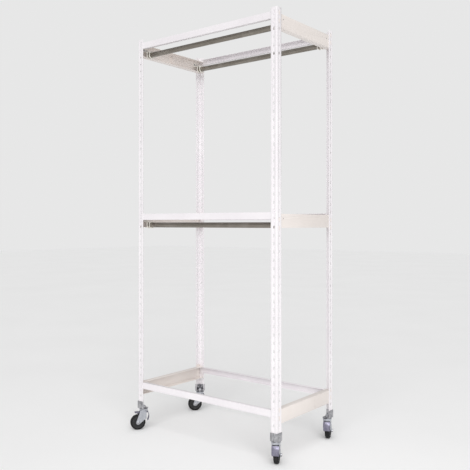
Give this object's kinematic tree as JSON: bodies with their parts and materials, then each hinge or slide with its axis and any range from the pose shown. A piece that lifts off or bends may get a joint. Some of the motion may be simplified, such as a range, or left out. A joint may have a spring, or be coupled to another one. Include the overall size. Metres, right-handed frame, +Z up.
{
  "type": "rolling clothes rack",
  "caption": "Tall open garment rack: slotted angle-steel frame with boltless beams, hanger pipes high and at mid height, on braked swivel casters.",
  "frame": {"origin": "on the floor, below the middle of the whole rack's box with the casters at their rest headings", "axes": "+X along the long side to the right as seen from the front, +Y to the back, +Z up"},
  "size_m": [0.8818, 0.546, 1.942],
  "materials": {
    "painted_steel": "semi-gloss white powder coat",
    "bracket_paint": "semi-gloss white paint on pressed steel",
    "pipe_steel": "polished chrome plate",
    "socket_zinc": "bright zinc plate on pressed steel",
    "caster_zinc": "bright zinc plate",
    "lever_steel": "blue-violet passivated zinc plate",
    "bright_fasteners": "bright zinc plated fasteners",
    "hub_plastic": "moulded black nylon",
    "tyre_rubber": "smooth black rubber"
  },
  "bodies": {
    "frame": {"caster_socket_back_left": "socket_zinc", "caster_socket_back_right": "socket_zinc", "caster_socket_front_left": "socket_zinc", "caster_socket_front_right": "socket_zinc", "caster_stem_back_left": "caster_zinc", "caster_stem_back_right": "caster_zinc", "caster_stem_front_left": "caster_zinc", "caster_stem_front_right": "caster_zinc", "end_beam_bottom_left": "painted_steel", "end_beam_bottom_right": "painted_steel", "end_beam_middle_left": "painted_steel", "end_beam_middle_right": "painted_steel", "end_beam_top_left": "painted_steel", "end_beam_top_right": "painted_steel", "hanger_pipe_middle_front": "pipe_steel", "hanger_pipe_top_back": "pipe_steel", "hanger_pipe_top_front": "pipe_steel", "long_beam_bottom_back": "painted_steel", "long_beam_bottom_front": "painted_steel", "long_beam_middle_back": "painted_steel", "long_beam_middle_front": "painted_steel", "long_beam_top_back": "painted_steel", "long_beam_top_front": "painted_steel", "pipe_bracket_middle_front_left": "bracket_paint", "pipe_bracket_middle_front_right": "bracket_paint", "pipe_bracket_screws": "bright_fasteners", "pipe_bracket_top_back_left": "bracket_paint", "pipe_bracket_top_back_right": "bracket_paint", "pipe_bracket_top_front_left": "bracket_paint", "pipe_bracket_top_front_right": "bracket_paint", "post_back_left": "painted_steel", "post_back_right": "painted_steel", "post_front_left": "painted_steel", "post_front_right": "painted_steel", "socket_bolts": "bright_fasteners", "socket_clamp_angles": "socket_zinc", "socket_nuts": "bright_fasteners", "stem_nuts": "bright_fasteners", "swivel_balls": "bright_fasteners"},
    "swivel_front_left": {"caster_fork_front_left": "caster_zinc", "wheel_axle_front_left": "bright_fasteners"},
    "wheel_front_left": {"wheel_hub_front_left": "hub_plastic", "wheel_tyre_front_left": "tyre_rubber"},
    "brake_front_left": {"brake_lever_front_left": "lever_steel"},
    "swivel_front_right": {"caster_fork_front_right": "caster_zinc", "wheel_axle_front_right": "bright_fasteners"},
    "wheel_front_right": {"wheel_hub_front_right": "hub_plastic", "wheel_tyre_front_right": "tyre_rubber"},
    "brake_front_right": {"brake_lever_front_right": "lever_steel"},
    "swivel_back_left": {"caster_fork_back_left": "caster_zinc", "wheel_axle_back_left": "bright_fasteners"},
    "wheel_back_left": {"wheel_hub_back_left": "hub_plastic", "wheel_tyre_back_left": "tyre_rubber"},
    "brake_back_left": {"brake_lever_back_left": "lever_steel"},
    "swivel_back_right": {"caster_fork_back_right": "caster_zinc", "wheel_axle_back_right": "bright_fasteners"},
    "wheel_back_right": {"wheel_hub_back_right": "hub_plastic", "wheel_tyre_back_right": "tyre_rubber"},
    "brake_back_right": {"brake_lever_back_right": "lever_steel"}
  },
  "joints": [
    {"name": "swivel_turn_front_left", "type": "hinge", "parent": "frame", "child": "swivel_front_left", "pos_m": [-0.38964, -0.21685, 0.099], "axis": [0, 0, 1], "continuous": true},
    {"name": "wheel_roll_front_left", "type": "hinge", "parent": "swivel_front_left", "child": "wheel_front_left", "pos_m": [-0.40688, -0.23891, 0.0375], "axis": [0.788, -0.6157, 0], "continuous": true},
    {"name": "brake_press_front_left", "type": "hinge", "parent": "swivel_front_left", "child": "brake_front_left", "pos_m": [-0.38533, -0.21133, 0.083], "axis": [0.788, -0.6157, 0], "range_deg": [0, 8]},
    {"name": "swivel_turn_front_right", "type": "hinge", "parent": "frame", "child": "swivel_front_right", "pos_m": [0.41436, -0.21685, 0.099], "axis": [0, 0, 1], "continuous": true},
    {"name": "wheel_roll_front_right", "type": "hinge", "parent": "swivel_front_right", "child": "wheel_front_right", "pos_m": [0.40165, -0.1919, 0.0375], "axis": [-0.891, -0.454, 0], "continuous": true},
    {"name": "brake_press_front_right", "type": "hinge", "parent": "swivel_front_right", "child": "brake_front_right", "pos_m": [0.41754, -0.22308, 0.083], "axis": [-0.891, -0.454, 0], "range_deg": [0, 8]},
    {"name": "swivel_turn_back_left", "type": "hinge", "parent": "frame", "child": "swivel_back_left", "pos_m": [-0.38964, 0.21015, 0.099], "axis": [0, 0, 1], "continuous": true},
    {"name": "wheel_roll_back_left", "type": "hinge", "parent": "swivel_back_left", "child": "wheel_back_left", "pos_m": [-0.40909, 0.19001, 0.0375], "axis": [0.7193, -0.6947, 0], "continuous": true},
    {"name": "brake_press_back_left", "type": "hinge", "parent": "swivel_back_left", "child": "brake_back_left", "pos_m": [-0.38478, 0.21519, 0.083], "axis": [0.7193, -0.6947, 0], "range_deg": [0, 8]},
    {"name": "swivel_turn_back_right", "type": "hinge", "parent": "frame", "child": "swivel_back_right", "pos_m": [0.41436, 0.21015, 0.099], "axis": [0, 0, 1], "continuous": true},
    {"name": "wheel_roll_back_right", "type": "hinge", "parent": "swivel_back_right", "child": "wheel_back_right", "pos_m": [0.40387, 0.23611, 0.0375], "axis": [-0.9272, -0.3746, 0], "continuous": true},
    {"name": "brake_press_back_right", "type": "hinge", "parent": "swivel_back_right", "child": "brake_back_right", "pos_m": [0.41698, 0.20366, 0.083], "axis": [-0.9272, -0.3746, 0], "range_deg": [0, 8]}
  ]
}
